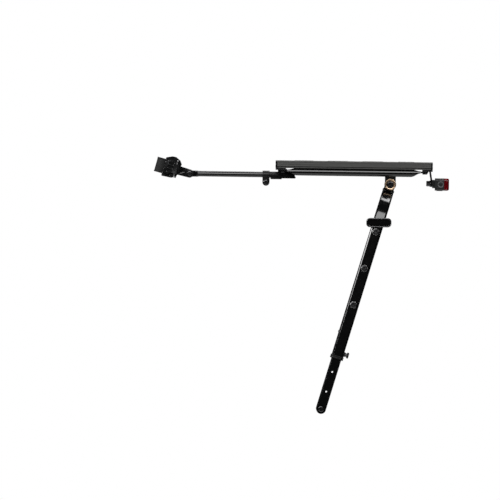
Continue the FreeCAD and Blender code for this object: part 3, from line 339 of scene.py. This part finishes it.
def finish_node(name, node, slot):
    node.data.materials.clear()
    node.data.materials.append(MATERIALS[slot])
    for polygon in node.data.polygons:
        polygon.use_smooth = True
    weld = node.modifiers.new("weld", "WELD")
    weld.merge_threshold = 0.000002
    bevel = node.modifiers.new("bevel", "BEVEL")
    bevel.width = EDGE_WIDTH.get(name, DEFAULT_EDGE) * MM
    bevel.segments = 2
    bevel.limit_method = "ANGLE"
    bevel.angle_limit = SHARP_ANGLE
    bevel.use_clamp_overlap = True
    bevel.harden_normals = True
    normals = node.modifiers.new("normals", "WEIGHTED_NORMAL")
    normals.keep_sharp = True


for entry in frame["record"]["subparts"]:
    finish_node(entry["node"], NODES[entry["node"]], entry["material_slot"])


# Mesh helpers

def add_piece(name, mesh, slot, body):
    piece = bpy.data.objects.new(name, mesh)
    bpy.context.scene.collection.objects.link(piece)
    mesh.materials.append(MATERIALS[slot])
    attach(piece, body)
    return piece


def grid_mesh(name, rows, closed_rows=False):
    """A skin over closed rows of points; each row has the same number of points."""
    mesh = bpy.data.meshes.new(name)
    build = bmesh.new()
    points = [[build.verts.new(point) for point in row] for row in rows]
    row_count = len(points)
    column_count = len(points[0])
    for i in range(row_count if closed_rows else row_count - 1):
        here = points[i]
        following = points[(i + 1) % row_count]
        for j in range(column_count):
            beside = (j + 1) % column_count
            build.faces.new((here[j], here[beside], following[beside], following[j]))
    if not closed_rows:
        build.faces.new(points[0][::-1])
        build.faces.new(points[-1])
    bmesh.ops.recalc_face_normals(build, faces=build.faces)
    build.to_mesh(mesh)
    build.free()
    for polygon in mesh.polygons:
        polygon.use_smooth = True
    return mesh


def basis(axis):
    """Two unit vectors across an axis."""
    axis = axis.normalized()
    side = X_AXIS if abs(axis.x) < 0.9 else Z_AXIS
    first = (side - axis * side.dot(axis)).normalized()
    return first, axis.cross(first)


def turned(start, axis, profile, segments):
    """Rows for a turned shape: the profile is (distance along the axis, radius)."""
    axis = axis.normalized()
    first, second = basis(axis)
    rows = []
    for along, radius in profile:
        row = []
        for k in range(segments):
            angle = 2 * math.pi * k / segments
            row.append(start + axis * along + (first * math.cos(angle) + second * math.sin(angle)) * radius)
        rows.append(row)
    return rows


def threaded_rows(start, axis, length, radius, pitch, depth, segments=36, per_turn=8):
    """Rows for a screw thread: the radius follows a helix, and fades out at both ends."""
    axis = axis.normalized()
    first, second = basis(axis)
    rows = []
    count = int(length / pitch * per_turn)
    for i in range(count + 1):
        along = length * i / count
        fade = min(1.0, along / pitch, (length - along) / pitch)
        row = []
        for k in range(segments):
            turn = k / segments
            phase = (along / pitch - turn) % 1.0
            crest = 1.0 - abs(2.0 * phase - 1.0)
            root = radius - depth * (1.0 - crest * fade)
            angle = 2 * math.pi * turn
            row.append(start + axis * along + (first * math.cos(angle) + second * math.sin(angle)) * root)
        rows.append(row)
    return rows


# Weld beads

def weld_bead(name, normal, outline, radius, body, slot="black_coat", ripples=46):
    """A rippled bead laid along a closed outline of points."""
    count = len(outline)
    rows = []
    for i, point in enumerate(outline):
        ahead = outline[(i + 1) % count]
        behind = outline[i - 1]
        along = (ahead - behind).normalized()
        first = normal.normalized()
        second = along.cross(first).normalized()
        swell = 1.0 + 0.13 * math.sin(2 * math.pi * ripples * i / count)
        row = []
        for k in range(10):
            angle = 2 * math.pi * k / 10
            row.append(point + (first * math.cos(angle) + second * math.sin(angle)) * radius * swell)
        rows.append(row)
    mesh = grid_mesh(name, rows, closed_rows=True)
    return add_piece(name, mesh, slot, body)


# Extra pieces: threads, welds, teeth, wear strips, rims, small screws

THREAD_RADIUS = 3.16 * MM
THREAD_PITCH = 1.0 * MM
THREAD_DEPTH = 0.5 * MM
BOSS_WELD_RADIUS = 3.9 * MM
STRAP_RADIUS = 17.2
CUFF_RIM_INSET = 0.9 * MM
CUFF_RIM_CORNER = 4.9 * MM
SLOT_LIP_GAP = 1.3 * MM
SLOT_LIP_CORNER = 6.3 * MM
CAP_SCREW_Y = 54.0 * MM
CAP_SCREW_HEIGHTS = (-3.4, -9.6)


def leg_frame(side):
    """The leg's own directions (rear, outward, up) and the rear screw's centre, from the joints."""
    down = Vector(JOINTS["leg_slide_" + side]["axis"])
    screw = JOINTS["thumb_turn_" + side]
    rear = Vector(screw["axis"])
    outward = down.cross(rear)
    if outward.y * Vector(screw["pos_m"]).y < 0:
        outward = -outward
    return Vector(screw["pos_m"]), rear, outward, -down


def add_axle_threads():
    """Rolled threads over the free ends of both axle bolts."""
    for side in ("right", "left"):
        mount = MOUNTS["axle_bolt_" + side]
        axis = Vector(mount["axis"])
        length = mount["dims"]["length_mm"] * MM
        start = Vector(mount["pos_m"]) - axis * length / 2
        rows = threaded_rows(start, axis, length, THREAD_RADIUS, THREAD_PITCH, THREAD_DEPTH)
        name = "axle_thread_" + side
        add_piece(name, grid_mesh(name, rows), "black_steel", "lower_leg_" + side)


def add_lug_weld():
    """The bead round the pivot lug's base, on the curved crown of the hoop."""
    pivot = Vector(JOINTS["hoop_swing"]["pos_m"])
    rear = Vector(JOINTS["thumb_turn_right"]["axis"])
    up = rear.cross(Y_AXIS)
    up = up if up.z > 0 else -up
    half_x, half_y, corner = 8.7 * MM, 13.8 * MM, 1.5 * MM
    centre_drop, outer_radius = 74.7 * MM, 64.5 * MM
    outline = []
    for x, y in rounded_outline(half_x, half_y, corner, 6, 14):
        z = -centre_drop + math.sqrt(outer_radius ** 2 - y ** 2)
        outline.append(pivot + rear * x + Y_AXIS * y + up * z)
    weld_bead("lug_weld", up, outline, 1.15 * MM, "hoop")


def rounded_outline(half_x, half_y, corner, corner_steps, side_steps):
    """Points round a rectangle with rounded corners, evenly spaced along each side."""
    points = []
    turns = [(1, 1, 0), (-1, 1, 90), (-1, -1, 180), (1, -1, 270)]
    for sign_x, sign_y, start in turns:
        centre_x = sign_x * (half_x - corner)
        centre_y = sign_y * (half_y - corner)
        for k in range(corner_steps + 1):
            angle = math.radians(start + 90 * k / corner_steps)
            points.append((centre_x + corner * math.cos(angle), centre_y + corner * math.sin(angle)))
    filled = []
    for i, point in enumerate(points):
        following = points[(i + 1) % len(points)]
        filled.append(point)
        gap = math.dist(point, following)
        if gap > 2 * corner:
            for k in range(1, side_steps):
                share = k / side_steps
                filled.append((point[0] + share * (following[0] - point[0]),
                               point[1] + share * (following[1] - point[1])))
    return filled


def add_boss_welds():
    """A small ring of weld round each thumb screw's boss."""
    for side in ("right", "left"):
        centre, rear, outward, up = leg_frame(side)
        outline = []
        for k in range(72):
            angle = 2 * math.pi * k / 72
            outline.append(centre + (outward * math.cos(angle) + up * math.sin(angle)) * BOSS_WELD_RADIUS)
        weld_bead("boss_weld_" + side, rear, outline, 0.55 * MM, "hoop", ripples=18)


def prism(name, frame_axes, origin, boxes, slot, body, bevel):
    """Small rounded boxes in a local frame, as one piece; each box is three (low, high) pairs in mm."""
    mesh = bpy.data.meshes.new(name)
    build = bmesh.new()
    first, second, third = frame_axes
    for x, y, z in boxes:
        corners = [build.verts.new(origin + (first * a + second * b + third * c) * MM)
                   for c in z for b in y for a in x]
        for face in ((0, 1, 3, 2), (4, 6, 7, 5), (0, 4, 5, 1), (2, 3, 7, 6), (0, 2, 6, 4), (1, 5, 7, 3)):
            build.faces.new([corners[i] for i in face])
    bmesh.ops.recalc_face_normals(build, faces=build.faces)
    build.to_mesh(mesh)
    build.free()
    piece = add_piece(name, mesh, slot, body)
    for polygon in mesh.polygons:
        polygon.use_smooth = True
    edge = piece.modifiers.new("bevel", "BEVEL")
    edge.width = bevel * MM
    edge.segments = 2
    edge.harden_normals = True
    return piece


def post_axes():
    """The seatpost clamp's own frame: back, right and up along the post, with the post's origin."""
    up = Vector(MOUNTS["seatpost_clamp"]["axis"])
    back = Y_AXIS.cross(up)
    return (back, Y_AXIS, up), Vector(MOUNTS["seatpost_clamp"]["pos_m"])


def add_strap_teeth():
    """The ladder of metal teeth on the strap's left tail, seen through the buckle frame's windows."""
    axes, origin = post_axes()
    teeth = []
    for row in range(3):
        base = -11.5 + 8.0 * row
        for k in range(3):
            x = 1.6 + 3.2 * k
            teeth.append(((x, x + 1.7), (-18.9, -17.1), (base, base + 5.6)))
    prism("strap_teeth", axes, origin, teeth, "black_steel", "seat_clamp", 0.5)


def add_buckle_ribs():
    """Steel wear strips along the frame's two long sides, behind the lever."""
    axes, origin = post_axes()
    ribs = [((x, x + 1.2), (-19.8, -19.0), (-13.0, 11.0)) for x in (-2.6, 12.4)]
    prism("buckle_ribs", axes, origin, ribs, "black_steel", "seat_clamp", 0.3)


def add_strap_rims():
    """Two raised rims round the front of the strap."""
    axes, origin = post_axes()
    back, right, up = axes
    for name, z in (("strap_rim_low", -11.6), ("strap_rim_high", 11.6)):
        rows = []
        for k in range(41):
            angle = math.radians(95 + 170 * k / 40)
            out = back * math.cos(angle) + right * math.sin(angle)
            row = []
            for dr, dz in ((-0.1, -0.9), (0.35, -0.7), (0.45, 0.0), (0.35, 0.7), (-0.1, 0.9)):
                row.append(origin + (out * (STRAP_RADIUS + dr) + up * (z + dz)) * MM)
            rows.append(row)
        add_piece(name, grid_mesh(name, rows), "strap_rubber", "seat_clamp")


def add_cuff_rims():
    """A smooth raised rim round the outer face of each cuff."""
    for side, outward in (("right", Y_AXIS), ("left", -Y_AXIS)):
        low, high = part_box("cuff_" + side)
        centre = (low + high) / 2
        centre.y = high.y if side == "right" else low.y
        half_x = (high.x - low.x) / 2 - CUFF_RIM_INSET
        half_z = (high.z - low.z) / 2 - CUFF_RIM_INSET
        outline = [centre + Vector((x, 0, z))
                   for x, z in rounded_outline(half_x, half_z, CUFF_RIM_CORNER, 10, 14)]
        weld_bead("cuff_rim_" + side, outward, outline, 0.85 * MM, "hoop", "black_steel", ripples=0)


def add_slot_lips():
    """A swaged lip round each strap slot in the deck plate."""
    for opening in frame["record"]["physics"]["openings"]:
        if not opening["name"].startswith("strap_slot"):
            continue
        low, high = (Vector(corner) for corner in opening["box_m"])
        centre = (low + high) / 2
        half_x = (high.x - low.x) / 2 + SLOT_LIP_GAP
        half_y = (high.y - low.y) / 2 + SLOT_LIP_GAP
        outline = [Vector((centre.x + x, centre.y + y, -0.1 * MM))
                   for x, y in rounded_outline(half_x, half_y, SLOT_LIP_CORNER, 8, 6)]
        weld_bead(opening["name"] + "_lip", Z_AXIS, outline, 0.6 * MM, "deck", "rail_aluminium", 0)


def add_cap_screws():
    """Round screw heads that hold both end caps to the rails."""
    for node, outward in (("front_cap", -X_AXIS), ("rear_cap", X_AXIS)):
        low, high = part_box(node)
        face_x = low.x if outward.x < 0 else high.x
        for side in (-1, 1):
            for z in CAP_SCREW_HEIGHTS:
                start = Vector((face_x, side * CAP_SCREW_Y, z * MM))
                profile = [(-0.2, 2.4), (0.1, 2.4), (0.22, 2.1), (0.25, 1.3), (0.1, 1.2), (0.08, 0.1)]
                rows = turned(start, outward, [(along * MM, radius * MM) for along, radius in profile], 24)
                name = f"{node}_screw_{'left' if side < 0 else 'right'}_{abs(z):.0f}"
                add_piece(name, grid_mesh(name, rows), "black_steel", "deck")


def add_light_details():
    """Reflector cups round the emitters, and a rubber port cover under the housing."""
    board_face_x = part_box("light_board")[1].x
    emitter_low, emitter_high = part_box("light_emitters")
    middle_z = (emitter_low.z + emitter_high.z) / 2
    for k, y in enumerate((-8.0, 0.0, 8.0)):
        start = Vector((board_face_x, y * MM, middle_z))
        profile = [(0.05, 2.6), (1.2, 3.0), (2.4, 3.7), (2.4, 3.9), (1.2, 3.3), (0.05, 2.9)]
        rows = turned(start, X_AXIS, [(along * MM, radius * MM) for along, radius in profile], 32)
        mesh = grid_mesh(f"reflector_{k}", rows, closed_rows=True)
        add_piece(f"reflector_{k}", mesh, "bright_steel", "deck")
    low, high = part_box("light_housing")
    middle = (low + high) / 2
    origin = Vector((middle.x, 0, low.z))
    prism("port_cover", (X_AXIS, Y_AXIS, Z_AXIS), origin, [((-5.0, 5.0), (-6.0, 6.0), (-0.7, 0.2))],
          "strap_rubber", "deck", 0.6)


add_axle_threads()
add_lug_weld()
add_boss_welds()
add_strap_teeth()
add_buckle_ribs()
add_strap_rims()
add_cuff_rims()
add_slot_lips()
add_cap_screws()
add_light_details()


# Camera and light

CAMERA_DISTANCE = 36.0
CAMERA_LENS = 1545.0
CAMERA_ROLL = math.radians(0.8)
AIM = Vector((-0.1726, 0.0, -0.15095))
FLOOR_Z = cad_low.z - 0.335
FLOOR_RADIUS = 0.9


def make_camera():
    data = bpy.data.cameras.new("camera")
    data.lens = CAMERA_LENS
    data.sensor_width = 36.0
    data.clip_start = 5.0
    data.clip_end = 200.0
    camera = bpy.data.objects.new("camera", data)
    camera.location = AIM - Y_AXIS * CAMERA_DISTANCE
    facing = Matrix.Rotation(math.radians(90), 4, "X") @ Matrix.Rotation(CAMERA_ROLL, 4, "Z")
    camera.rotation_euler = facing.to_euler()
    bpy.context.scene.collection.objects.link(camera)
    bpy.context.scene.camera = camera


def make_floor():
    """A pale floor at the height where the bicycle's wheels would stand."""
    mesh = bpy.data.meshes.new("floor")
    build = bmesh.new()
    bmesh.ops.create_circle(build, cap_ends=True, radius=FLOOR_RADIUS, segments=96)
    build.to_mesh(mesh)
    build.free()
    floor = bpy.data.objects.new("floor", mesh)
    floor.location = (AIM.x, 0, FLOOR_Z)
    shader = Shader("floor")
    shader.colours(shader.noise(1.5), [(0.3, (0.70, 0.70, 0.70)), (0.7, (0.73, 0.73, 0.73))])
    shader.set(Roughness=0.9)
    mesh.materials.append(shader.material)
    bpy.context.scene.collection.objects.link(floor)


def soft_light(name, place, target, width, height, power):
    data = bpy.data.lights.new(name, "AREA")
    data.shape = "RECTANGLE"
    data.size = width
    data.size_y = height
    data.energy = power
    light = bpy.data.objects.new(name, data)
    light.location = place
    light.rotation_euler = (Vector(target) - Vector(place)).to_track_quat("-Z", "Y").to_euler()
    bpy.context.scene.collection.objects.link(light)


def make_world():
    """White behind the object for the camera, and dim for everything that the surfaces mirror."""
    world = bpy.data.worlds.new("studio")
    bpy.context.scene.world = world
    world.use_nodes = True
    nodes = world.node_tree.nodes
    links = world.node_tree.links
    nodes.clear()
    output = nodes.new("ShaderNodeOutputWorld")
    mix = nodes.new("ShaderNodeMixShader")
    path = nodes.new("ShaderNodeLightPath")
    seen = nodes.new("ShaderNodeBackground")
    seen.inputs["Color"].default_value = (1, 1, 1, 1)
    seen.inputs["Strength"].default_value = 1.0
    lit = nodes.new("ShaderNodeBackground")
    lit.inputs["Color"].default_value = (0.93, 0.96, 1, 1)
    lit.inputs["Strength"].default_value = 0.03
    links.new(path.outputs["Is Camera Ray"], mix.inputs["Fac"])
    links.new(lit.outputs["Background"], mix.inputs[1])
    links.new(seen.outputs["Background"], mix.inputs[2])
    links.new(mix.outputs["Shader"], output.inputs["Surface"])


def make_lights():
    """Softboxes round the rack: each is a rectangle of even brightness."""
    soft_light("overhead", (0.0, 0.38, 1.4), (0.0, 0.38, 0.0), 2.4, 0.47, 18)
    soft_light("front", (-0.2, -2.54, 1.5), (0, 0, -0.12), 2.2, 1.5, 54)
    soft_light("back", (0.5, 2.3, 1.8), (0, 0, -0.1), 1.8, 0.7, 12)
    soft_light("left_card", (-1.25, -0.48, 0.49), (0, -0.48, 0.49), 1.85, 0.34, 25)
    under_deck = Vector(JOINTS["hoop_swing"]["pos_m"]) + Vector((0.004, -0.041, 0.0125))
    soft_light("under_deck", under_deck, under_deck - Z_AXIS, 0.03, 0.010, 0.006)


bpy.context.scene.view_settings.view_transform = "Standard"
make_world()
make_floor()
make_lights()
make_camera()
